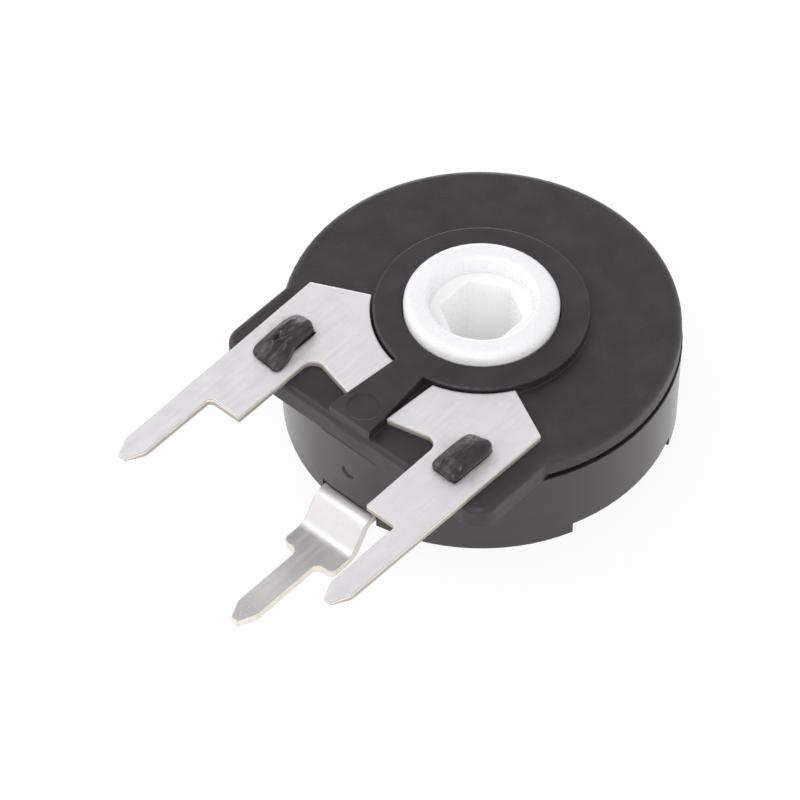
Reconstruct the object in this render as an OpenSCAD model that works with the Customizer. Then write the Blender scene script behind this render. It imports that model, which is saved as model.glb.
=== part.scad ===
// Carbon trimmer potentiometer, 15 mm class, with flat pins for a printed circuit board.
// It lies on its adjusting face. The rotor turns about +Z and the three pins point along -Y.
// Z = 0 is the plane of the housing's feet, round the adjusting face.

/* [Housing] */
// Diameter of the round terminal plate
plate_d = 15.1; // [15:0.05:15.3]
// Height from the feet to the top face of the terminal plate
body_h = 4.65; // [4.6:0.05:5]
// Height of the plate's round rim
rim_h = 0.82; // [0.75:0.01:0.9]
// Thickness of the plate inside its rim
web_t = 0.6; // [0.55:0.01:0.65]
// Outer diameter of the cup at its top
cup_d = 15.2; // [15:0.02:15.24]
// Height of the feet below the cup's floor
feet_h = 0.48; // [0.42:0.01:0.5]
// Thickness of the cup's floor
floor_t = 0.6; // [0.55:0.01:0.62]

/* [Plate details] */
// Diameter of the boss round the rotor's hub
boss_d = 8.2; // [8:0.1:8.3]
// Height of the boss and the key bar above the plate
boss_h = 0.45; // [0.3:0.05:0.6]
// Width of the straight foot under the pins
foot_w = 13; // [12.6:0.1:13.2]
// Distance from the rotor's axis to the foot's front face
foot_y = 7.5; // [7.45:0.01:7.54]
// Height of the foot, measured from the plate's top face
foot_h = 1; // [0.95:0.01:1.05]
// Radius of the foot's corners
foot_r = 0.9; // [0.6:0.1:1.4]
// Height of the formed stake heads above the outer terminals
stake_h = 0.58; // [0.5:0.02:0.8]

/* [Rotor] */
// Diameter of the rotor's hub
hub_d = 5.9; // [5.8:0.02:6]
// Height of the hub above the boss
hub_rise = 0.52; // [0.3:0.01:0.6]
// Diameter of the round socket in the hub
socket_d = 4; // [3.8:0.1:4.2]
// Depth of the round socket down to its shelf
socket_depth = 0.8; // [0.7:0.05:1.2]
// Distance across the flats of the through hole
hex_af = 2.8; // [2.6:0.1:3]
// Diameter of the rotor's flange
flange_d = 12.2; // [12.1:0.05:12.25]
// Diameter of the rotor's front face
front_d = 7.2; // [7.1:0.05:7.3]
// Mechanical travel of the rotor, in degrees
travel = 265; // [255:1:270]

/* [Track] */
// Inner radius of the carbon track
track_r0 = 5; // [4.95:0.01:5.05]
// Outer radius of the carbon track
track_r1 = 6.4; // [6.3:0.05:6.5]
// Electrical travel along the carbon, in degrees
track_angle = 240; // [230:1:244]
// Thickness of the track's board
board_t = 0.5; // [0.45:0.01:0.52]
// Thickness of the printed films
film_t = 0.04; // [0.03:0.01:0.06]

/* [Outer terminals] */
// Distance between the two outer pins
pin_pitch = 10.16; // [10:0.02:10.2]
// Width of an outer pin
pin_w = 0.94; // [0.9:0.02:1.1]
// Distance from the rotor's axis to an outer pin's tip
pin_tip = 14.2; // [13.5:0.1:15.5]
// Thickness of the outer terminals' sheet
outer_t = 0.3; // [0.25:0.01:0.35]

/* [Centre terminal] */
// Width of the centre terminal's strip
lead_w = 2.45; // [2.3:0.05:2.6]
// Width of the centre pin
centre_pin_w = 0.94; // [0.9:0.02:1.1]
// Distance from the rotor's axis to the centre pin's tip
centre_tip = 13.8; // [13:0.1:14.5]
// Thickness of the centre terminal's sheet
centre_t = 0.35; // [0.3:0.01:0.36]
// How far the centre pin steps down from its strip
step_drop = 1.2; // [1:0.05:1.35]
// Slope of the step, in degrees
step_angle = 58; // [50:1:65]

/* [Hidden] */
$fn = 64;
eps = 0.02;

// Plastic parts, from the axis outwards
plate_r = plate_d / 2;
rim_r0 = plate_r - 0.4;
rim_round = 0.32;
web_z = body_h - web_t;
rim_z = body_h - rim_h;
foot_z = body_h - foot_h;
foot_back = 3;
foot_round = 0.25;
boss_r = boss_d / 2;
boss_z = body_h + boss_h;
edge_round = 0.1;
fit_gap = 0.05;
hub_r = hub_d / 2;
cup_r = cup_d / 2;
feet_r1 = cup_r - 0.06;
wall_r0 = 6.75;
spigot_r = rim_r0 - fit_gap;
spigot_z = web_z - fit_gap;
seam = 0.22;
wall_z = rim_z - seam;
floor_r0 = 5.05;
floor_z = feet_h + floor_t;
feet_r0 = 6.55;
side_gap_a0 = -21.5;
side_gap_a1 = 22.5;
slot_w = lead_w + 0.2;
slot_z = feet_h + 0.05;
gate_r = 0.3;
gate_z = 2.12;
gate_depth = 0.06;
rivet_r = 0.4;
rivet_at = 5.85;
rivet_head_r = 0.52;
rivet_head_t = 0.08;

// Key bar between the outer terminals
key_w0 = 1.24;
key_w1 = 2;
key_y = foot_y - 0.08;
mark_r = 0.65;
mark_y = 6.6;
mark_depth = 0.05;

// Stakes that hold the outer terminals
stake_x = 4.36;
stake_y = 6.03;
stake_w = 1;
stake_l = 2.05;
stake_bevel = 0.28;
stake_z = body_h + outer_t + stake_h;
stake_gap = 0.03;

// Outer terminals: the blank follows the boss, then narrows to the arm and the pin
pin_x = pin_pitch / 2;
blank_arc_r = boss_r + 0.1;
blank_outer = [5.73, -3.25];
blank_inner = [3.02, -1.93];
ear_y = -3.3;
ear_left = 0.54;
ear_right = 1.19;
ear_tip = [0.95, -6.39];
arm_x = 3.16;
notch_y = -5.98;
notch_r = 0.5;
shoulder_y = -9.97;
shoulder_r = 0.22;
pin_point_y = 0.72;
pin_blunt = 0.32;
point_coin = 0.15;
tongue_angle = -30.9;
tongue_r0 = 4.35;
tongue_w = 0.5;
tongue_foot = 1;
tongue_gap = 0.04;

// Track board and its films
board_r0 = 4.15;
board_r1 = 6.65;
board_gap = 22;
board_z = web_z - board_t;
film_z = board_z - film_t;
pad_end = 140;

// Centre terminal: a collector ring under the floor, its strip and its pin
ring_r0 = 3.75;
ring_r1 = 5.35;
ear_r = 0.8;
centre_z = feet_h - centre_t;
bend_r0 = 0.3;
bend_r1 = 0.55;
bend_y = 7.55;
centre_shoulder_y = 9.8;
centre_corner_r = 0.2;
centre_fillet_r = 0.35;
centre_point_y = 0.7;
centre_blunt = 0.3;

// Rotor
front_z = 0.1;
flange_z0 = floor_z + 0.1;
flange_z1 = flange_z0 + 0.8;
thrust_r0 = 5.25;
thrust_r1 = 5.65;
thrust_gap = 0.02;
front_r = front_d / 2;
flange_r = flange_d / 2;
collar_z = web_z - fit_gap;
hub_z = boss_z + hub_rise;
hub_round = 0.35;
mouth_round = 0.22;
socket_r = socket_d / 2;
shelf_z = hub_z - socket_depth;
lug_r = 6.6;
lug_half = 7;
stop_r0 = 6.25;
stop_half = 180 - travel / 2 - lug_half - 0.5;
stop_z = flange_z1 - 0.1;
window_r0 = 3.8;
window_r1 = 5;
peg_r = 0.35;
peg_at = 4.3;
peg_head_r = 0.47;
peg_head_t = 0.14;
driver_slot_w = 1;
driver_slot_l = 5.4;
driver_slot_depth = 0.8;
arrow_w = 2.6;
arrow_l = 1.3;

// Wiper
wiper_t = 0.12;
wiper_z = flange_z1;
wiper_ring_r0 = 3.7;
wiper_ring_r1 = 4.9;
brush_r0 = 5.05;
brush_r1 = 6.35;
brush_gap = 0.04;
brush_fingers = 4;
arm_root = 3.2;
root_l = 0.8;
contact_r = 0.16;
collect_r0 = 3.87;
collect_r1 = 4.87;
collect_fingers = 3;
collect_clear = 0.9;
split_w = 0.1;

// Ring between two radii
module ring(r0, r1, h) {
    difference() {
        cylinder(r = r1, h = h);
        translate([0, 0, -1]) cylinder(r = r0, h = h + 2);
    }
}

// Part of a ring between two angles, counted from +X
module ring_sector(r0, r1, h, a0, a1) {
    rotate([0, 0, a0]) rotate_extrude(angle = a1 - a0) translate([r0, 0]) square([r1 - r0, h]);
}

// Section whose outer upper corner is rounded
module rounded_profile(w, h, edge) {
    square([w - edge, h]);
    square([w, h - edge]);
    translate([w - edge, h - edge]) circle(r = edge);
}

// Block whose sides and ends are both bevelled at the top
module bevelled_block(w, l, h, bevel) {
    intersection() {
        rotate([90, 0, 0]) linear_extrude(l, center = true) bevelled_outline(w, h, bevel);
        rotate([90, 0, 90]) linear_extrude(w, center = true) bevelled_outline(l, h, bevel);
    }
}

module bevelled_outline(w, h, bevel) {
    polygon([[-w / 2, 0], [w / 2, 0], [w / 2, h - bevel], [w / 2 - bevel, h], [bevel - w / 2, h],
        [-w / 2, h - bevel]]);
}

// Both sides of the plane X = 0
module both_sides() {
    children();
    mirror([1, 0, 0]) children();
}

// ---- Terminal plate ----

// Foot under the pins, with the rim's rounded upper edge
module foot() {
    x = foot_w / 2 - foot_r;
    y = foot_y - foot_r;
    translate([0, 0, foot_z]) {
        translate([-x, -y, 0]) cube([2 * x, y - foot_back, foot_h]);
        translate([0, -y, 0]) rotate([90, 0, -90]) linear_extrude(2 * x, center = true) foot_edge();
        both_sides() {
            translate([x, -foot_back, 0]) rotate([90, 0, 0]) linear_extrude(y - foot_back) foot_edge();
            translate([x, -y, 0]) rotate([0, 0, -90]) rotate_extrude(angle = 90) foot_edge();
        }
    }
}

module foot_edge() {
    rounded_profile(foot_r, foot_h, foot_round);
}

module key_bar() {
    linear_extrude(boss_z - foot_z) polygon([[-key_w0 / 2, -3.5], [key_w0 / 2, -3.5],
        [key_w1 / 2, -key_y], [-key_w1 / 2, -key_y]]);
}

// Opening for the tongue of an outer terminal
module tongue_slot(h) {
    rotate([0, 0, tongue_angle]) translate([tongue_r0 - tongue_gap, -outer_t - 2 * tongue_gap, 0])
        cube([tongue_w + 2 * tongue_gap, outer_t + 2 * tongue_gap, h]);
}

module terminal_plate() {
    color([0.13, 0.125, 0.13]) difference() {
        union() {
            translate([0, 0, rim_z]) rotate_extrude() rounded_profile(plate_r, rim_h, rim_round);
            foot();
            translate([0, 0, body_h - eps]) rotate_extrude()
                rounded_profile(boss_r, boss_h + eps, edge_round);
            translate([0, 0, foot_z]) key_bar();
            both_sides() translate([stake_x, -stake_y, body_h - eps])
                bevelled_block(stake_w, stake_l, stake_z - body_h + eps, stake_bevel);
        }
        cylinder(r = hub_r + fit_gap, h = boss_z + 1);
        cylinder(r = rim_r0, h = web_z);
        both_sides() tongue_slot(body_h + eps);
        translate([0, -mark_y, boss_z - mark_depth]) cylinder(r = mark_r, h = 1);
    }
}

// ---- Housing cup ----

// Wall, floor and spigot turned as one section
module cup_section() {
    polygon([[floor_r0, feet_h], [feet_r1, feet_h], [cup_r, wall_z], [spigot_r, wall_z],
        [spigot_r, spigot_z], [wall_r0, spigot_z], [wall_r0, floor_z], [floor_r0, floor_z]]);
}

// Stake that holds the collector under the floor, with its formed head
module rivet() {
    translate([0, 0, centre_z - rivet_head_t]) {
        cylinder(r = rivet_head_r, h = rivet_head_t);
        cylinder(r = rivet_r, h = floor_z - centre_z);
    }
}

// One ring segment of the feet
module feet(a0, a1) {
    ring_sector(feet_r0, feet_r1, feet_h + eps, a0, a1);
}

module housing_cup() {
    color([0.15, 0.145, 0.15]) difference() {
        union() {
            rotate_extrude() cup_section();
            feet(side_gap_a1, 180 - side_gap_a1);
            feet(180 - side_gap_a0, 360 + side_gap_a0);
            translate([0, 0, floor_z - eps])
                ring_sector(stop_r0, wall_r0 + eps, stop_z - floor_z, 270 - stop_half, 270 + stop_half);
            for (angle = [0, 180, 270]) rotate([0, 0, angle]) translate([rivet_at, 0, 0]) rivet();
        }
        // Room for the plate's foot, outside the spigot
        difference() {
            translate([-foot_w / 2 - fit_gap, -cup_r - 1, foot_z - fit_gap])
                cube([foot_w + 2 * fit_gap, cup_r - 2, rim_h]);
            cylinder(r = spigot_r, h = body_h);
        }
        // Way out for the centre terminal
        translate([-slot_w / 2, -cup_r - 1, -1]) cube([slot_w, cup_r + 1.15 - feet_r0, slot_z + 1]);
        // Narrow flat on the front, flush with the foot, and the sunk gate mark on it
        translate([-foot_w / 2, -foot_y - 1, -1]) cube([foot_w, 1, body_h]);
        translate([0, gate_depth - foot_y, gate_z]) rotate([90, 0, 0]) cylinder(r = gate_r, h = 1);
    }
}

// ---- Track board ----

module board_sector(r0, r1, h, half) {
    ring_sector(r0, r1, h, 90 - half, 90 + half);
}

module track_board() {
    color([0.55, 0.36, 0.2]) translate([0, 0, board_z]) difference() {
        board_sector(board_r0, board_r1, board_t, 180 - board_gap);
        translate([0, 0, -1]) both_sides() tongue_slot(board_t + 2);
    }
}

module carbon_track() {
    color([0.08, 0.08, 0.08]) translate([0, 0, film_z])
        board_sector(track_r0, track_r1, film_t, track_angle / 2);
}

module end_pad() {
    difference() {
        ring_sector(board_r0 + 0.1, track_r1, film_t, 90 - pad_end, 90 - track_angle / 2);
        translate([0, 0, -1]) tongue_slot(film_t + 2);
    }
}

module end_pads() {
    color([0.75, 0.75, 0.73]) translate([0, 0, film_z]) both_sides() end_pad();
}

// ---- Outer terminals ----

// Corner between two edges at a right angle, filled with a quarter round
module inner_corner(r) {
    difference() {
        square(r);
        circle(r = r);
    }
}

module terminal_outline(ear_x) {
    x0 = pin_x - pin_w / 2;
    x1 = pin_x + pin_w / 2;
    difference() {
        polygon([[ear_x, ear_y], ear_tip, [arm_x - notch_r, notch_y], [arm_x, notch_y], [arm_x, shoulder_y],
            [x0, shoulder_y], [x0, pin_point_y - pin_tip], [pin_x - pin_blunt / 2, -pin_tip],
            [pin_x + pin_blunt / 2, -pin_tip], [x1, pin_point_y - pin_tip], blank_outer, blank_inner]);
        circle(r = blank_arc_r);
        translate([stake_x, -stake_y])
            square([stake_w + 2 * stake_gap, stake_l + 2 * stake_gap], center = true);
    }
    translate([arm_x - notch_r, notch_y - notch_r]) inner_corner(notch_r);
    translate([x0 - shoulder_r, shoulder_y - shoulder_r]) inner_corner(shoulder_r);
}

// Tongue bent down through the plate and the board, clinched under the end pad
module tongue() {
    z = film_z - outer_t;
    rotate([0, 0, tongue_angle]) {
        translate([tongue_r0, -outer_t - tongue_gap, z]) cube([tongue_w, outer_t, body_h + eps - z]);
        translate([tongue_r0, -tongue_foot, z]) cube([tongue_w, tongue_foot - tongue_gap, outer_t]);
    }
}

// Wedge taken off the lower side of a pin's point
module point_wedge() {
    run = pin_point_y + 0.3;
    translate([pin_x, -pin_tip, body_h]) rotate([90, 0, 90]) linear_extrude(2 * pin_w, center = true)
        polygon([[-1, -1], [run, -1], [run, 0], [0, point_coin], [-1, point_coin]]);
}

// The inner edge of the blank ends beside the boss at a distance ear_x from the middle
module outer_terminal(ear_x) {
    color([0.8, 0.79, 0.78]) {
        difference() {
            translate([0, 0, body_h]) linear_extrude(outer_t) terminal_outline(ear_x);
            point_wedge();
        }
        tongue();
    }
}

module right_terminal() {
    outer_terminal(ear_right);
}

module left_terminal() {
    mirror([1, 0, 0]) outer_terminal(ear_left);
}

// ---- Centre terminal ----

// Bend of the strip about the X direction, through the step's angle, with an inner radius r
module step_bend(r) {
    translate([-lead_w / 2, 0, 0]) rotate([90, 0, 90]) rotate_extrude(angle = step_angle)
        translate([r, 0]) square([centre_t, lead_w]);
}

module collector_outline() {
    difference() {
        union() {
            circle(r = ring_r1);
            translate([-lead_w / 2, -bend_y]) square([lead_w, bend_y - ring_r0]);
            both_sides() {
                translate([rivet_at, 0]) circle(r = ear_r);
                translate([ring_r1 - ear_r, -ear_r]) square([rivet_at - ring_r1 + ear_r, 2 * ear_r]);
            }
        }
        circle(r = ring_r0);
        for (angle = [0, 180, 270]) rotate(angle) translate([rivet_at, 0]) circle(r = rivet_r + 0.02);
    }
}

// Pin with its shoulder, from the end of the step at a distance y0 from the rotor's axis
module centre_pin_outline(y0) {
    x = centre_pin_w / 2;
    w = lead_w / 2;
    y1 = centre_shoulder_y;
    r = centre_corner_r;
    translate([-w, r - y1]) square([lead_w, y1 - y0 - r]);
    translate([r - w, -y1]) square([lead_w - 2 * r, y1 - y0]);
    both_sides() {
        translate([w - r, r - y1]) circle(r = r);
        translate([x + centre_fillet_r, -y1 - centre_fillet_r]) rotate(90) inner_corner(centre_fillet_r);
    }
    polygon([[-x, r - y1], [x, r - y1], [x, centre_point_y - centre_tip], [centre_blunt / 2, -centre_tip],
        [-centre_blunt / 2, -centre_tip], [-x, centre_point_y - centre_tip]]);
}

module centre_terminal() {
    turns = bend_r0 + bend_r1 + centre_t;
    slope = (step_drop - turns * (1 - cos(step_angle))) / sin(step_angle);
    y_end = bend_y + turns * sin(step_angle) + slope * cos(step_angle);
    pin_z = centre_z - step_drop;
    color([0.83, 0.81, 0.76]) {
        translate([0, 0, centre_z]) linear_extrude(centre_t) collector_outline();
        translate([0, -bend_y, centre_z - bend_r0]) {
            mirror([0, 1, 0]) rotate([90 - step_angle, 0, 0]) step_bend(bend_r0);
            rotate([step_angle, 0, 0]) translate([-lead_w / 2, -slope - eps, bend_r0])
                cube([lead_w, slope + 2 * eps, centre_t]);
        }
        translate([0, -y_end, pin_z + centre_t + bend_r1]) mirror([0, 0, 1])
            rotate([90 - step_angle, 0, 0]) step_bend(bend_r1);
        translate([0, 0, pin_z]) linear_extrude(centre_t) centre_pin_outline(y_end - eps);
    }
}

// ---- Rotor ----

// Half section of the rotor: front face, thrust rib, flange, collar and hub
module rotor_section() {
    translate([0, front_z]) square([front_r, flange_z0 - front_z + eps]);
    translate([0, flange_z0]) square([flange_r, flange_z1 - flange_z0]);
    translate([thrust_r0, floor_z + thrust_gap])
        square([thrust_r1 - thrust_r0, flange_z0 - floor_z]);
    translate([0, flange_z1 - eps]) square([front_r, collar_z - flange_z1 + eps]);
    translate([0, collar_z - eps]) square([hub_r, hub_z - hub_round - collar_z + eps]);
    square([hub_r - hub_round, hub_z]);
    translate([hub_r - hub_round, hub_z - hub_round]) circle(r = hub_round);
}

// Socket with a rounded mouth
module socket_section() {
    translate([0, shelf_z]) square([socket_r, hub_z]);
    difference() {
        translate([0, hub_z - mouth_round]) square([socket_r + mouth_round, 1]);
        translate([socket_r + mouth_round, hub_z - mouth_round]) circle(r = mouth_round);
    }
}

module arrow_outline() {
    half = driver_slot_l / 2;
    translate([-driver_slot_w / 2, -half]) square([driver_slot_w, driver_slot_l - arrow_l / 2]);
    polygon([[-arrow_w / 2, half - arrow_l], [arrow_w / 2, half - arrow_l], [0, half]]);
}

module rotor() {
    color([0.93, 0.93, 0.92]) {
        difference() {
            rotate_extrude() difference() {
                rotor_section();
                translate([-1, front_z - 1]) square([1, hub_z + 2]);
            }
            rotate_extrude() socket_section();
            rotate([0, 0, 30]) cylinder(d = hex_af / cos(30), h = hub_z, $fn = 6);
            translate([0, 0, front_z - 1]) linear_extrude(driver_slot_depth + 1) arrow_outline();
            // Window for the wiper's collector fingers
            translate([0, 0, floor_z]) intersection() {
                ring(window_r0, window_r1, 2);
                translate([-collect_clear, -6, 0]) cube([collect_clear + arm_root + 0.1, 6, 2]);
            }
        }
        translate([0, 0, flange_z0]) ring_sector(flange_r - 0.2, lug_r, 0.8, 90 - lug_half, 90 + lug_half);
        both_sides() translate([peg_at, 0, flange_z1 - eps]) {
            cylinder(r = peg_r, h = wiper_t + peg_head_t);
            translate([0, 0, wiper_t + 2 * eps]) cylinder(r = peg_head_r, h = peg_head_t);
        }
    }
}

// ---- Wiper ----

// Side view of a spring arm: it leaves the flat at X = -arm_root and ends in a rounded contact at
// X = 0, whose top is a given height above the flat's lower face
module arm_profile(rise) {
    run = [arm_root, rise - contact_r - wiper_t / 2];
    translate([-arm_root, wiper_t / 2]) rotate(atan2(run[1], run[0]))
        translate([0, -wiper_t / 2]) square([norm(run), wiper_t]);
    translate([0, rise - contact_r]) circle(r = contact_r);
}

// Spring arm split into fingers that follow the circle, on the +Y side
module fingers(r0, r1, count, rise) {
    pitch = (r1 - r0 + split_w) / count;
    intersection() {
        translate([0, r1 + 1, 0]) rotate([90, 0, 0]) linear_extrude(r1 + 1) arm_profile(rise);
        for (i = [0:count - 1]) translate([0, 0, -10])
            ring(r0 + i * pitch, r0 + (i + 1) * pitch - split_w, 20);
    }
}

// Flat between the ring and the roots of the track fingers
module brush_root_flat() {
    intersection() {
        ring(wiper_ring_r0, brush_r1, wiper_t);
        translate([-arm_root - root_l, 0, -1]) cube([root_l + 0.05, brush_r1, 2]);
    }
}

module wiper() {
    color([0.78, 0.7, 0.5]) translate([0, 0, wiper_z]) {
        difference() {
            ring(wiper_ring_r0, wiper_ring_r1, wiper_t);
            translate([-collect_clear, -wiper_ring_r1 - 1, -1])
                cube([collect_clear + arm_root - 0.05, wiper_ring_r1 + 1, 2]);
            for (side = [-1, 1]) translate([side * peg_at, 0, -1]) cylinder(r = peg_r + 0.02, h = 2);
        }
        difference() {
            brush_root_flat();
            translate([-peg_at, 0, -1]) cylinder(r = peg_r + 0.02, h = 2);
        }
        fingers(brush_r0, brush_r1, brush_fingers, film_z - brush_gap - wiper_z);
        rotate([0, 0, 180]) translate([0, 0, wiper_t]) mirror([0, 0, 1])
            fingers(collect_r0, collect_r1, collect_fingers, wiper_z + wiper_t - feet_h - brush_gap);
    }
}

terminal_plate();
housing_cup();
track_board();
carbon_track();
end_pads();
left_terminal();
right_terminal();
centre_terminal();
rotor();
wiper();
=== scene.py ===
"""Looks of the trimmer potentiometer: materials, melted stake heads, camera, lamps and floor."""
import math

import bmesh
import bpy
from mathutils import Matrix, Vector, noise


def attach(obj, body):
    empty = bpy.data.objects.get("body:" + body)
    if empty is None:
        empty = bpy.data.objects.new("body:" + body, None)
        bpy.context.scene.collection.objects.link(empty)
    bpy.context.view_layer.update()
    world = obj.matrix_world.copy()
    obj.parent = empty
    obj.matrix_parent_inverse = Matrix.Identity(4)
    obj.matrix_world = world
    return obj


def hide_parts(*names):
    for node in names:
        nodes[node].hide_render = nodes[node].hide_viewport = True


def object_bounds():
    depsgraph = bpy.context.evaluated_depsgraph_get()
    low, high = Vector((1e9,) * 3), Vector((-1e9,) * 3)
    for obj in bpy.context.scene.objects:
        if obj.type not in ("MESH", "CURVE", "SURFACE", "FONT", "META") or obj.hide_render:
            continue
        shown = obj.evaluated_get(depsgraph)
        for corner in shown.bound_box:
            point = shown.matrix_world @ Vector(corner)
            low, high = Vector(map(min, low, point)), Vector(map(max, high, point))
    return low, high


MM = 0.001

# Places on the object, in millimetres, as in the part's source
PLATE_TOP = 4.65
TERMINAL_TOP = 4.95
STAKE_AT = (4.36, -6.03)  # the right stake; the left one mirrors it
STAKE_HALF = (0.52, 1.05)
HUB_R = 2.95
SOCKET_R = 2.0
FRONT_FLAT = (0, -7.5, 2)  # middle of the cup's narrow flat

# What the materials mark on it, in millimetres
HEAD_MIDDLE_Z = 5.1
HEAD_REACH = 1.5
LEFT_GROOVE = (-4.37, -6.0, 5.25)
HUB_FOOT_Z = (5.3, 5.55)  # the foot's cream tint and painted light fade between these heights
LEAD_OPENING = (1.35, 0.61)  # half width and top of the centre terminal's way out of the cup
LEAD_DULL_Y = -11.8  # the centre terminal is dull from here to its tip

# Camera: the direction towards it, in degrees, then distance, shift of its aim and lens
CAMERA_AZIMUTH = 41.7005
CAMERA_ELEVATION = 49.1342
CAMERA_DISTANCE = 200.0
CAMERA_OFFSET = (3.0579, 3.2043)
CAMERA_LENS = 239.6088
SENSOR_WIDTH = 36

# Lamps: azimuth and elevation in degrees, distance and size in millimetres, and radiance
LAMPS = {
    "key": (-65, 38, 120, 90, 1.6),
    "front": (42, 12, 150, 90, 1.0),
    "fill": (42, 47, 150, 60, 4.4),
    "back": (222, 12, 150, 60, 2.5),
}

# Studio tent: its level at the horizon, its level from a height up (the sine of the elevation),
# and the share of it that reaches matt surfaces
HORIZON_LEVEL = 0.98
OVERHEAD_LEVEL = 0.91
OVERHEAD_FROM = 0.6
MATT_SHARE = 0.84
# Its dim part, which level faces mirror to the camera: middle, depth, inner and outer angle
DIM_DIRECTION = (-0.435, 0.36, 0.825)
DIM_DEPTH = 0.40
DIM_ANGLES = (8, 34)

# Floor: half its size in metres, and the share of plain white in what is seen or mirrored of it
FLOOR_HALF = 0.5
FLOOR_SEEN_WHITE = 0.92
FLOOR_MIRRORED_WHITE = 0.5

# Light bounces, enough for the white walls of the narrow hole
BOUNCES = 48

# The two colours that each finish drifts between
PLATE_BLACK = (0.018, 0.015, 0.017), (0.032, 0.027, 0.030)
CUP_BLACK = (0.016, 0.0125, 0.0145), (0.024, 0.019, 0.0225)
MELTED_BLACK = (0.010, 0.009, 0.010), (0.036, 0.032, 0.034)
HUB_WHITE = (0.83, 0.83, 0.848), (0.855, 0.855, 0.868)
TIN = (0.775, 0.755, 0.775), (0.835, 0.82, 0.835)
CENTRE_METAL = (0.80, 0.78, 0.785), (0.86, 0.835, 0.81)
SHEARED_EDGE = (0.84, 0.78, 0.67), (0.82, 0.78, 0.74)
LAMINATE = (0.22, 0.10, 0.04), (0.32, 0.17, 0.08)
CARBON = (0.012, 0.012, 0.013), (0.03, 0.03, 0.032)
SILVER_PRINT = (0.55, 0.55, 0.53), (0.7, 0.7, 0.68)
SPRING_SHEET = (0.62, 0.5, 0.28), (0.74, 0.63, 0.4)

# The gloss of the black plastic is a little violet
GLOSS_TINT = (1, 0.94, 0.985)

# Single colours
# Painted shade round the stake heads' foot
CREVICE_PAINTED_SHADE = (0.002, 0.002, 0.002)
GAP_SHADE = (0.002, 0.001, 0.001)
GROOVE_GLINT = (0.4, 0.38, 0.38)
# Painted light: the socket's walls whiter than the rest of the rotor
SOCKET_PAINTED_LIGHT = (0.997, 0.997, 0.998)
# Partly the hub foot's own cream tint, partly painted light
HUB_FOOT_CREAM_AND_LIGHT = (0.97, 0.955, 0.915)
# Greyer patches round the stake heads
GREY_PATCH = (0.55, 0.54, 0.53)
DULL_METAL = (0.58, 0.57, 0.59)
# Colour the sheared edges turn to towards their bottom
EDGE_LOWER_DARK = (0.30, 0.27, 0.24)
# Painted shade along the sheet metal's sharp edges
EDGE_SHADE_LINE = (0.13, 0.12, 0.11)


# ---- Node helpers ----

def feed(tree, socket, value):
    """Sets a socket to a value, or links it to another node's output."""
    if isinstance(value, bpy.types.NodeSocket):
        tree.links.new(value, socket)
    elif isinstance(value, tuple) and len(value) == 3 and len(socket.default_value) == 4:
        socket.default_value = (*value, 1)
    else:
        socket.default_value = value


def add(tree, kind, inputs=None, **settings):
    """A node with its settings; an input is a value or another node's output."""
    node = tree.nodes.new(kind)
    for key, value in settings.items():
        setattr(node, key, value)
    for key, value in (inputs or {}).items():
        feed(tree, node.inputs[key], value)
    return node


def new_material(name):
    """An empty node material and its Principled shader."""
    material = bpy.data.materials.new(name)
    material.use_nodes = True
    tree = material.node_tree
    tree.nodes.clear()
    shader = add(tree, "ShaderNodeBsdfPrincipled")
    add(tree, "ShaderNodeOutputMaterial", {"Surface": shader.outputs["BSDF"]})
    return material, tree, shader


def maths(tree, operation, a, b=0.0):
    return add(tree, "ShaderNodeMath", {0: a, 1: b}, operation=operation).outputs[0]


def product(tree, *factors):
    result = factors[0]
    for factor in factors[1:]:
        result = maths(tree, "MULTIPLY", result, factor)
    return result


def vector_maths(tree, operation, *inputs):
    node = add(tree, "ShaderNodeVectorMath", dict(enumerate(inputs)), operation=operation)
    return node.outputs["Value" if operation in ("DOT_PRODUCT", "DISTANCE") else "Vector"]


def axes(tree, vector):
    """The X, Y and Z parts of a vector."""
    return add(tree, "ShaderNodeSeparateXYZ", {0: vector}).outputs


def mix(tree, factor, a, b):
    """Blend of two colours, from a at 0 to b at 1."""
    return add(tree, "ShaderNodeMix", {0: factor, 6: a, 7: b}, data_type="RGBA").outputs[2]


def remap(tree, value, low, high, to_low, to_high, smooth=False):
    """Moves a value from one range to another, and holds it within that."""
    node = add(tree, "ShaderNodeMapRange", {"Value": value, "From Min": low, "From Max": high,
               "To Min": to_low, "To Max": to_high},
               interpolation_type="SMOOTHSTEP" if smooth else "LINEAR")
    return node.outputs[0]


def spread(tree, grain, low=0, high=1):
    """Moves the range where nearly all of a noise lies to another range."""
    return remap(tree, grain, 0.3, 0.7, low, high)


def millimetres(tree, stretch=(1, 1, 1)):
    """The object's own coordinates in millimetres, stretched along its axes."""
    coords = add(tree, "ShaderNodeTexCoord")
    return vector_maths(tree, "MULTIPLY", coords.outputs["Object"], [1000 * s for s in stretch])


def speckle(tree, place, scale, detail=2.0, roughness=0.5):
    """Noise; its scale is about how many spots there are in a millimetre."""
    return add(tree, "ShaderNodeTexNoise", {"Vector": place, "Scale": scale, "Detail": detail,
               "Roughness": roughness}).outputs["Fac"]


def bump(tree, height, depth, below=None):
    """Relief whose full height is a depth in millimetres."""
    inputs = {"Height": height, "Distance": depth * MM, "Strength": 1.0}
    if below is not None:
        inputs["Normal"] = below
    return add(tree, "ShaderNodeBump", inputs).outputs["Normal"]


def rounded(tree, radius):
    """Surface direction rounded over the edges within a radius, in millimetres."""
    return add(tree, "ShaderNodeBevel", {"Radius": radius * MM}, samples=6).outputs[0]


def near(tree, place, centre, inner, outer):
    """1 within a distance of a point, falling to 0 further out, in millimetres."""
    away = vector_maths(tree, "DISTANCE", place, centre)
    return remap(tree, away, inner, outer, 1, 0, smooth=True)


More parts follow.
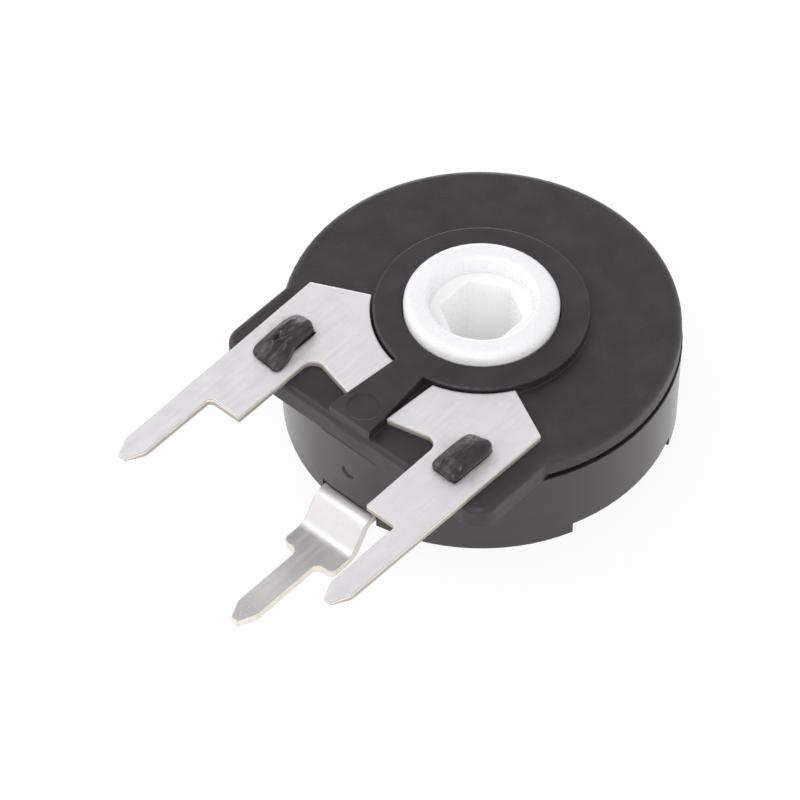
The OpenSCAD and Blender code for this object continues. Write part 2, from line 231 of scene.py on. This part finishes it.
def cut_face(tree):
    """1 on the sheared edges of a flat sheet, 0 on its faces and bends."""
    upward = axes(tree, add(tree, "ShaderNodeTexCoord").outputs["Normal"])[2]
    return remap(tree, maths(tree, "ABSOLUTE", upward), 0.15, 0.4, 1, 0)


def crease(tree, width):
    """1 in a hair's width along the sharp edges, where rounding turns the surface most."""
    plain = add(tree, "ShaderNodeNewGeometry").outputs["Normal"]
    turn = vector_maths(tree, "DOT_PRODUCT", rounded(tree, width), plain)
    return remap(tree, turn, 0.84, 0.985, 1, 0)


def round_wall(tree, place, normal, share):
    """Turns a wall's direction to that of a round wall about the axis, by a share."""
    level = vector_maths(tree, "MULTIPLY", place, (1, 1, 0))
    radial = vector_maths(tree, "NORMALIZE", level)
    along = vector_maths(tree, "DOT_PRODUCT", radial, normal)
    share = product(tree, share, remap(tree, along, 0.94, 0.97, 0, 1))
    blend = add(tree, "ShaderNodeMix", {0: share, 4: normal, 5: radial}, data_type="VECTOR")
    return vector_maths(tree, "NORMALIZE", blend.outputs[1])


# ---- Materials ----

def melted_heads(tree, place, colour, gloss):
    """Glossier streaks on the stakes' melted heads, a painted highlight in the left head's groove, and
    painted shade round their foot, black and matt under the lip.
    """
    height = axes(tree, place)[2]
    heads = [near(tree, place, (side * STAKE_AT[0], STAKE_AT[1], HEAD_MIDDLE_Z),
                  HEAD_REACH, HEAD_REACH + 0.1) for side in (-1, 1)]
    melted = product(tree, maths(tree, "MAXIMUM", *heads),
                     remap(tree, height, TERMINAL_TOP - 0.1, TERMINAL_TOP - 0.05, 0, 1))
    smear = speckle(tree, millimetres(tree, (3, 1, 2)), 1)
    streak = mix(tree, remap(tree, smear, 0.4, 0.7, 0, 1), *MELTED_BLACK)
    # Painted highlight: a pale spot in the left head's groove
    glint = near(tree, place, LEFT_GROOVE, 0.02, 0.14)
    streak = mix(tree, product(tree, glint, 0.4), streak, GROOVE_GLINT)
    # Painted shade: black and matt at the foot of each head, under its lip
    foot = remap(tree, height, TERMINAL_TOP + 0.08, TERMINAL_TOP + 0.11, 1, 0)
    streak = mix(tree, foot, streak, CREVICE_PAINTED_SHADE)
    gloss = maths(tree, "SUBTRACT", gloss, product(tree, melted, 0.1))
    gloss = maths(tree, "MAXIMUM", gloss, product(tree, foot, melted))
    return mix(tree, melted, colour, streak), gloss


def lead_gap_shade(tree, place, colour, gloss):
    """Painted shade: a dark, matt line where the centre terminal leaves the cup through its tight
    opening.
    """
    x, y, z = axes(tree, place)
    inside = [remap(tree, maths(tree, "ABSOLUTE", part), end, end + 0.06, 1, 0)
              for part, end in zip((x, z), LEAD_OPENING)]
    line = product(tree, *inside, remap(tree, y, FRONT_FLAT[1] + 0.5, FRONT_FLAT[1] + 0.3, 0, 1))
    return mix(tree, line, colour, GAP_SHADE), maths(tree, "MAXIMUM", gloss, line)


def black_plastic(name, tones, rough, ior, facing, edge, relief, marks, round_at=None):
    """Moulded black plastic: faint clouds, uneven gloss, fine texture and soft edges.

    A facing share below 1 mirrors less straight on than at a glance. The marks are what only this
    piece has, and round_at is the middle of a flat that mirrors as if it were round.
    """
    material, tree, shader = new_material(name)
    place = millimetres(tree)
    grain = speckle(tree, place, 9, 3)
    colour = mix(tree, spread(tree, speckle(tree, place, 0.9, 4)), *tones)
    colour, gloss = marks(tree, place, colour, spread(tree, grain, rough - 0.07, rough + 0.07))
    feed(tree, shader.inputs["Base Color"], colour)
    feed(tree, shader.inputs["Roughness"], gloss)
    normal = rounded(tree, edge)
    if round_at:
        normal = round_wall(tree, place, normal, near(tree, place, round_at, 2.0, 2.6))
    normal = bump(tree, grain, relief, normal)
    normal = bump(tree, speckle(tree, place, 40), relief / 8, normal)
    feed(tree, shader.inputs["Normal"], normal)
    shader.inputs["IOR"].default_value = ior
    shader.inputs["Specular Tint"].default_value = (*(facing * part for part in GLOSS_TINT), 1)
    return material


def white_plastic():
    """White plastic that light sinks into, with painted light making the socket whiter, and a cream
    foot that is partly its own tint and partly painted light.
    """
    material, tree, shader = new_material("rotor_white")
    place = millimetres(tree)
    x, y, z = axes(tree, place)
    from_axis = add(tree, "ShaderNodeCombineXYZ", {0: x, 1: y}).outputs[0]
    cloud = speckle(tree, place, 0.8, 3)
    colour = mix(tree, spread(tree, cloud), *HUB_WHITE)
    # Painted light: whiter walls in the socket lift the shade inside the narrow hole
    socket = near(tree, from_axis, (0, 0, 0), SOCKET_R - 0.15, SOCKET_R + 0.05)
    colour = mix(tree, socket, colour, SOCKET_PAINTED_LIGHT)
    # Cream foot: partly the plastic's own tint, partly painted light against the shade at the hub's
    # base
    foot = remap(tree, maths(tree, "ADD", z, product(tree, cloud, 0.3)), *HUB_FOOT_Z, 0.9, 0)
    within = near(tree, from_axis, (0, 0, 0), HUB_R - 0.35, HUB_R - 0.25)
    side = maths(tree, "SUBTRACT", 1, within)
    colour = mix(tree, product(tree, foot, side), colour, HUB_FOOT_CREAM_AND_LIGHT)
    feed(tree, shader.inputs["Base Color"], colour)
    grain = speckle(tree, place, 12, 3)
    feed(tree, shader.inputs["Roughness"], spread(tree, grain, 0.24, 0.36))
    feed(tree, shader.inputs["Normal"], bump(tree, grain, 0.002))
    shader.inputs["Subsurface Weight"].default_value = 0.5
    shader.inputs["Subsurface Scale"].default_value = 0.4 * MM
    shader.inputs["Subsurface Radius"].default_value = (1, 1, 1)
    return material


def sheet_metal(name, tones, rough, metallic, stretch, relief, edge, line_from, darker_below=None,
                grey_patch_at=None, dull_from=None):
    """Rolled sheet: clouded face, faint rolling lines, creamy sheared edges with a painted shade line.

    The relief is that of the grain and of the rolling lines. The painted shade line along the edges is
    faint up to line_from and strong past it, towards the pins. The sheared edges turn darker towards
    their bottom, below darker_below, and the metal is dull past dull_from.
    """
    material, tree, shader = new_material(name)
    place = millimetres(tree)
    x, y, z = axes(tree, place)
    cloud = speckle(tree, place, 1.2, 5, 0.6)
    grain = speckle(tree, place, 14, 3)
    lines = speckle(tree, millimetres(tree, stretch), 1, 1)

    face = mix(tree, spread(tree, cloud), *tones)
    # Greyer, cloudy patches on the face round each stake head
    if grey_patch_at:
        grey_patch = product(tree, speckle(tree, place, 2.2, 4), near(tree, place, grey_patch_at, 0.6, 2.2))
        face = mix(tree, remap(tree, grey_patch, 0.25, 0.6, 0, 0.5, smooth=True), face, GREY_PATCH)
    if dull_from:
        dull = product(tree, remap(tree, grain, 0.35, 0.6, 0.4, 0.9),
                       remap(tree, y, dull_from, dull_from - 1.5, 0, 1, smooth=True))
        face = mix(tree, dull, face, DULL_METAL)

    sheared = mix(tree, remap(tree, grain, 0.35, 0.65, 0, 1), *SHEARED_EDGE)
    # The sheared edges turn darker towards their bottom
    if darker_below:
        ragged = maths(tree, "ADD", z, product(tree, cloud, 0.1))
        torn = remap(tree, ragged, darker_below, darker_below + 0.06, 0.75, 0)
        sheared = mix(tree, torn, sheared, EDGE_LOWER_DARK)

    cut = cut_face(tree)
    # Painted shade: a dark line along the sharp edges, stronger towards the pins
    line = product(tree, crease(tree, 0.045), remap(tree, cloud, 0.4, 0.6, 0.5, 0.9),
                   remap(tree, y, line_from, line_from - 0.8, 0.15, 1))
    colour = mix(tree, line, mix(tree, cut, face, sheared), EDGE_SHADE_LINE)
    feed(tree, shader.inputs["Base Color"], colour)
    gloss = maths(tree, "ADD", spread(tree, lines, *rough), spread(tree, grain, 0, 0.08))
    feed(tree, shader.inputs["Roughness"], gloss)
    feed(tree, shader.inputs["Metallic"], remap(tree, cut, 0, 1, metallic, 0.2))
    below = bump(tree, grain, relief[0], rounded(tree, edge))
    feed(tree, shader.inputs["Normal"], bump(tree, lines, relief[1], below))
    return material


def plain_film(name, tones, rough, metallic=0.0):
    """Finish of a hidden piece: two close colours, uneven gloss and a fine relief."""
    material, tree, shader = new_material(name)
    grain = speckle(tree, millimetres(tree), 3, 4)
    feed(tree, shader.inputs["Base Color"], mix(tree, spread(tree, grain), *tones))
    feed(tree, shader.inputs["Roughness"], spread(tree, grain, rough - 0.08, rough + 0.08))
    feed(tree, shader.inputs["Normal"], bump(tree, grain, 0.003))
    shader.inputs["Metallic"].default_value = metallic
    return material


def paint(obj, material):
    obj.data.materials.clear()
    obj.data.materials.append(material)


# ---- Stake heads ----

# Outlines of the melted heads round their stake, in millimetres: across, and towards the pins
LEFT_HEAD = [(-0.53, -1.15), (-0.28, -1.23), (0.02, -1.22), (0.32, -1.13), (0.46, -0.93),
             (0.49, -0.47), (0.51, -0.05), (0.57, 0.24), (0.68, 0.52), (0.78, 0.85), (0.81, 1.15),
             (0.78, 1.38), (0.62, 1.47), (0.36, 1.43), (0.08, 1.43), (-0.24, 1.39), (-0.50, 1.32),
             (-0.66, 1.12), (-0.72, 0.65), (-0.74, 0.15), (-0.74, -0.40), (-0.67, -0.90)]
RIGHT_HEAD = [(-0.48, -1.00), (-0.24, -1.09), (0.05, -1.14), (0.26, -1.18), (0.46, -1.11),
              (0.58, -0.92), (0.61, -0.75), (0.61, -0.28), (0.59, 0.25), (0.58, 0.72),
              (0.56, 0.98), (0.42, 1.11), (0.15, 1.14), (-0.20, 1.09), (-0.48, 1.09),
              (-0.64, 0.98), (-0.68, 0.75), (-0.69, 0.20), (-0.67, -0.30), (-0.60, -0.85)]

# Rises and hollows on the heads: height, middle, and size along each axis, in millimetres
LEFT_LUMPS = [(0.08, (-0.36, -0.2), (0.13, 0.6)), (-0.28, (-0.17, 0.32), (0.12, 0.28)),
              (-0.16, (-0.02, -0.06), (0.10, 0.26)), (0.07, (0.18, -0.55), (0.22, 0.35)),
              (-0.08, (0.22, 0.15), (0.08, 0.35))]
RIGHT_LUMPS = [(0.03, (0.0, -0.5), (0.4, 0.4)), (-0.06, (0.15, 0.64), (0.45, 0.06)),
               (-0.05, (0.2, 0.25), (0.07, 0.3))]

# Points round a head, and rings from its lip to its middle
HEAD_POINTS = 84
HEAD_RINGS = 26


def ramp(value, start, width):
    """From 0 at the start to 1 a width further on."""
    return min(1, max(0, (value - start) / width))


def lumpy(height, u, v, lumps):
    """A height with smooth rises and hollows on it."""
    for rise, middle, size in lumps:
        height += rise * math.exp(-((u - middle[0]) / size[0]) ** 2 - ((v - middle[1]) / size[1]) ** 2)
    return height


def shoulder(u, start, width, drop):
    """How far the height falls off across the head, from a start towards negative u."""
    t = ramp(start - u, 0, width)
    return drop * t * t * (3 - 2 * t)


def left_height(u, v):
    """Slumped head with a torn groove in its middle and a low tail towards the pins."""
    slumped = 0.57 - 0.32 * ramp(v, 0.45, 0.9) * ramp(u, -0.65, 0.9)
    return lumpy(slumped, u, v, LEFT_LUMPS) - shoulder(u, 0.1, 0.75, 0.2)


def right_height(u, v):
    """Pillow-shaped head with a lower lobe at its end and a fold across it."""
    stepped = 0.60 - 0.12 * ramp(v, 0.62, 0.12) * ramp(u, -0.35, 0.3)
    return lumpy(stepped, u, v, RIGHT_LUMPS) - shoulder(u, 0.15, 0.8, 0.22)


def resample(outline, count):
    """Points on the closed smooth curve through an outline."""
    points = []
    size = len(outline)
    for i in range(count):
        t = i * size / count
        k, f = int(t), t - int(t)
        a, b, c, d = (Vector(outline[(k + j) % size]) for j in (-1, 0, 1, 2))
        points.append(0.5 * ((2 * b) + (c - a) * f + (2 * a - 5 * b + 4 * c - d) * f ** 2
                             + (3 * b - a - 3 * c + d) * f ** 3))
    return points


def add_head(bm, centre, outline, height, seed, lip):
    """Melted stake head: rings from the neck in the hole, out to the lip, and in over the dome."""
    edge = resample(outline, HEAD_POINTS)
    # Each ring's share of the outline and height over the terminal, and if it is on the dome
    sections = [(0.8, -0.22, False), (0.955, -0.02, False), (0.96, lip - 0.03, False),
                (1.0, lip, False)]
    sections += [(1 - (i / HEAD_RINGS) ** 1.15, lip, True) for i in range(1, HEAD_RINGS)]
    loops = []
    for scale, rise, domed in sections:
        loop = []
        for point in edge:
            u, v = point * scale
            lump = noise.noise(Vector((u * 3.1, v * 2.2, seed)))
            streak = noise.noise(Vector((u * 8 + 0.8 * lump, v * 2.4, seed + 7)))
            z = rise
            if domed:
                full = height(u, v) + 0.05 * lump + 0.025 * streak
                z += (full - rise) * (1 - scale ** 3.4) ** 0.45
            wobble = 1 + 0.02 * streak * (z > 0)
            place = Vector((centre[0] + u * wobble, centre[1] - v * wobble, TERMINAL_TOP + z))
            loop.append(bm.verts.new(place * MM))
        loops.append(loop)
    faces = []
    for low, high in zip(loops, loops[1:]):
        for i in range(HEAD_POINTS):
            j = (i + 1) % HEAD_POINTS
            faces.append(bm.faces.new((low[j], low[i], high[i], high[j])))
    faces.append(bm.faces.new(loops[0]))
    faces.append(bm.faces.new(loops[-1][::-1]))
    for face in faces:
        face.smooth = True


def formed_plate(source):
    """The terminal plate with melted stake heads in place of its plain ones."""
    mesh = source.data.copy()
    plate = bpy.data.objects.new("terminal_plate_formed", mesh)
    bpy.context.scene.collection.objects.link(plate)
    for vertex in mesh.vertices:
        x, y, z = (c / MM for c in vertex.co)
        beside = abs(abs(x) - STAKE_AT[0]) < STAKE_HALF[0] and abs(y - STAKE_AT[1]) < STAKE_HALF[1]
        if beside and z > TERMINAL_TOP:
            vertex.co.z = (TERMINAL_TOP - 0.03) * MM
    bm = bmesh.new()
    bm.from_mesh(mesh)
    add_head(bm, (-STAKE_AT[0], STAKE_AT[1]), LEFT_HEAD, left_height, seed=2.0, lip=0.05)
    add_head(bm, STAKE_AT, RIGHT_HEAD, right_height, seed=5.0, lip=0.13)
    bm.to_mesh(mesh)
    bm.free()
    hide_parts("terminal_plate")
    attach(plate, "housing")
    return plate


# ---- Surroundings ----

def direction(azimuth, elevation):
    """Unit vector towards a point of the sky, in degrees; azimuth 0 is over the pins."""
    a, e = math.radians(azimuth), math.radians(elevation)
    return Vector((math.sin(a) * math.cos(e), -math.cos(a) * math.cos(e), math.sin(e)))


def add_camera():
    data = bpy.data.cameras.new("camera")
    data.lens = CAMERA_LENS
    data.sensor_width = SENSOR_WIDTH
    data.clip_start, data.clip_end = 0.01, 2
    camera = bpy.data.objects.new("camera", data)
    bpy.context.scene.collection.objects.link(camera)
    azimuth = math.radians(CAMERA_AZIMUTH)
    back = direction(CAMERA_AZIMUTH, CAMERA_ELEVATION)
    right = Vector((math.cos(azimuth), math.sin(azimuth), 0))
    up = back.cross(right)
    place = back * CAMERA_DISTANCE - right * CAMERA_OFFSET[0] - up * CAMERA_OFFSET[1]
    place.z += PLATE_TOP
    turn = Matrix((right, up, back)).transposed()
    camera.matrix_world = Matrix.Translation(place * MM) @ turn.to_4x4()
    bpy.context.scene.camera = camera


def add_lamp(name, azimuth, elevation, distance, size, radiance):
    """Square soft lamp that looks at the object."""
    data = bpy.data.lights.new(name, "AREA")
    data.shape = "SQUARE"
    data.size = size * MM
    data.energy = radiance * math.pi * (size * MM) ** 2
    lamp = bpy.data.objects.new(name, data)
    bpy.context.scene.collection.objects.link(lamp)
    away = direction(azimuth, elevation)
    lamp.location = away * distance * MM
    lamp.rotation_mode = "QUATERNION"
    lamp.rotation_quaternion = away.to_track_quat("Z", "Y")


def add_world():
    """Pale tent, white to the camera, with one dimmer part high up behind."""
    world = bpy.data.worlds.new("studio")
    bpy.context.scene.world = world
    world.use_nodes = True
    tree = world.node_tree
    tree.nodes.clear()
    way = add(tree, "ShaderNodeTexCoord").outputs["Generated"]
    inner, outer = (math.cos(math.radians(angle)) for angle in DIM_ANGLES)
    aim = vector_maths(tree, "DOT_PRODUCT", way, DIM_DIRECTION)
    dim = remap(tree, aim, outer, inner, 0, DIM_DEPTH, smooth=True)
    level = remap(tree, axes(tree, way)[2], 0, OVERHEAD_FROM, HORIZON_LEVEL, OVERHEAD_LEVEL,
                  smooth=True)
    level = maths(tree, "SUBTRACT", level, dim)
    paths = add(tree, "ShaderNodeLightPath").outputs
    level = product(tree, level, remap(tree, paths["Is Diffuse Ray"], 0, 1, 1, MATT_SHARE))
    strength = add(tree, "ShaderNodeMix", {0: paths["Is Camera Ray"], 2: level, 3: 1.0},
                   data_type="FLOAT")
    background = add(tree, "ShaderNodeBackground", {"Color": (1, 1, 1, 1),
                     "Strength": strength.outputs[0]})
    add(tree, "ShaderNodeOutputWorld", {"Surface": background.outputs[0]})


def add_floor(height):
    """Pale floor that shows white and keeps a faint shadow."""
    corners = [(x * FLOOR_HALF, y * FLOOR_HALF, 0) for x, y in ((-1, -1), (1, -1), (1, 1), (-1, 1))]
    mesh = bpy.data.meshes.new("floor")
    mesh.from_pydata(corners, [], [(0, 1, 2, 3)])
    floor = bpy.data.objects.new("floor", mesh)
    bpy.context.scene.collection.objects.link(floor)
    floor.location.z = height
    material, tree, shader = new_material("floor")
    shader.inputs["Base Color"].default_value = (0.95, 0.95, 0.95, 1)
    shader.inputs["Roughness"].default_value = 0.8
    white = add(tree, "ShaderNodeEmission", {"Color": (1, 1, 1, 1), "Strength": 1.0})
    paths = add(tree, "ShaderNodeLightPath").outputs
    seen = product(tree, paths["Is Camera Ray"], FLOOR_SEEN_WHITE)
    bounced = maths(tree, "MAXIMUM", paths["Is Glossy Ray"], paths["Is Transmission Ray"])
    share = maths(tree, "MAXIMUM", seen, product(tree, bounced, FLOOR_MIRRORED_WHITE))
    blend = add(tree, "ShaderNodeMixShader", {0: share, 1: shader.outputs[0], 2: white.outputs[0]})
    output = next(node for node in tree.nodes if node.type == "OUTPUT_MATERIAL")
    feed(tree, output.inputs["Surface"], blend.outputs[0])
    paint(floor, material)


# ---- Scene ----

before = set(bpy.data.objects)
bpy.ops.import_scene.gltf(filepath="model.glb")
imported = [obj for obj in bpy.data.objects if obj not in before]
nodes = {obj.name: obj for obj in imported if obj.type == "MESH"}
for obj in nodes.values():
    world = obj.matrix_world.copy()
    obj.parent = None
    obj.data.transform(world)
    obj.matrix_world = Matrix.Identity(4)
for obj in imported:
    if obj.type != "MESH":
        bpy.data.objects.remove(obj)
cad_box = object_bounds()
add_camera()
add_world()
for lamp_name, values in LAMPS.items():
    add_lamp(lamp_name, *values)
add_floor(cad_box[0].z)

paint(formed_plate(nodes["terminal_plate"]), black_plastic(
    "plate_black", PLATE_BLACK, rough=0.42, ior=1.5, facing=1, edge=0.07, relief=0.005,
    marks=melted_heads))
paint(nodes["housing_cup"], black_plastic(
    "cup_black", CUP_BLACK, rough=0.17, ior=1.75, facing=0.75, edge=0.08, relief=0.0004,
    marks=lead_gap_shade, round_at=FRONT_FLAT))
paint(nodes["rotor"], white_plastic())
for name, side in (("left", -1), ("right", 1)):
    paint(nodes[name + "_terminal"], sheet_metal(
        name + "_tin", TIN, rough=(0.36, 0.46), metallic=0.65, stretch=(8, 0.5, 8),
        relief=(0.0005, 0.002), edge=0.1, line_from=-7.8, darker_below=4.86,
        grey_patch_at=(side * STAKE_AT[0], STAKE_AT[1], TERMINAL_TOP)))
paint(nodes["centre_terminal"], sheet_metal(
    "centre_terminal_metal", CENTRE_METAL, rough=(0.28, 0.38), metallic=0.69, stretch=(8, 0.7, 8),
    relief=(0.0012, 0.0006), edge=0.05, line_from=-7.5, dull_from=LEAD_DULL_Y))
paint(nodes["track_board"], plain_film("board_laminate", LAMINATE, 0.6))
paint(nodes["carbon_track"], plain_film("carbon", CARBON, 0.5))
paint(nodes["end_pads"], plain_film("silver_print", SILVER_PRINT, 0.5, metallic=0.8))
paint(nodes["wiper"], plain_film("spring_sheet", SPRING_SHEET, 0.25, metallic=1.0))

bpy.context.scene.view_settings.view_transform = "Standard"
bpy.context.scene.cycles.max_bounces = BOUNCES
bpy.context.scene.cycles.diffuse_bounces = BOUNCES
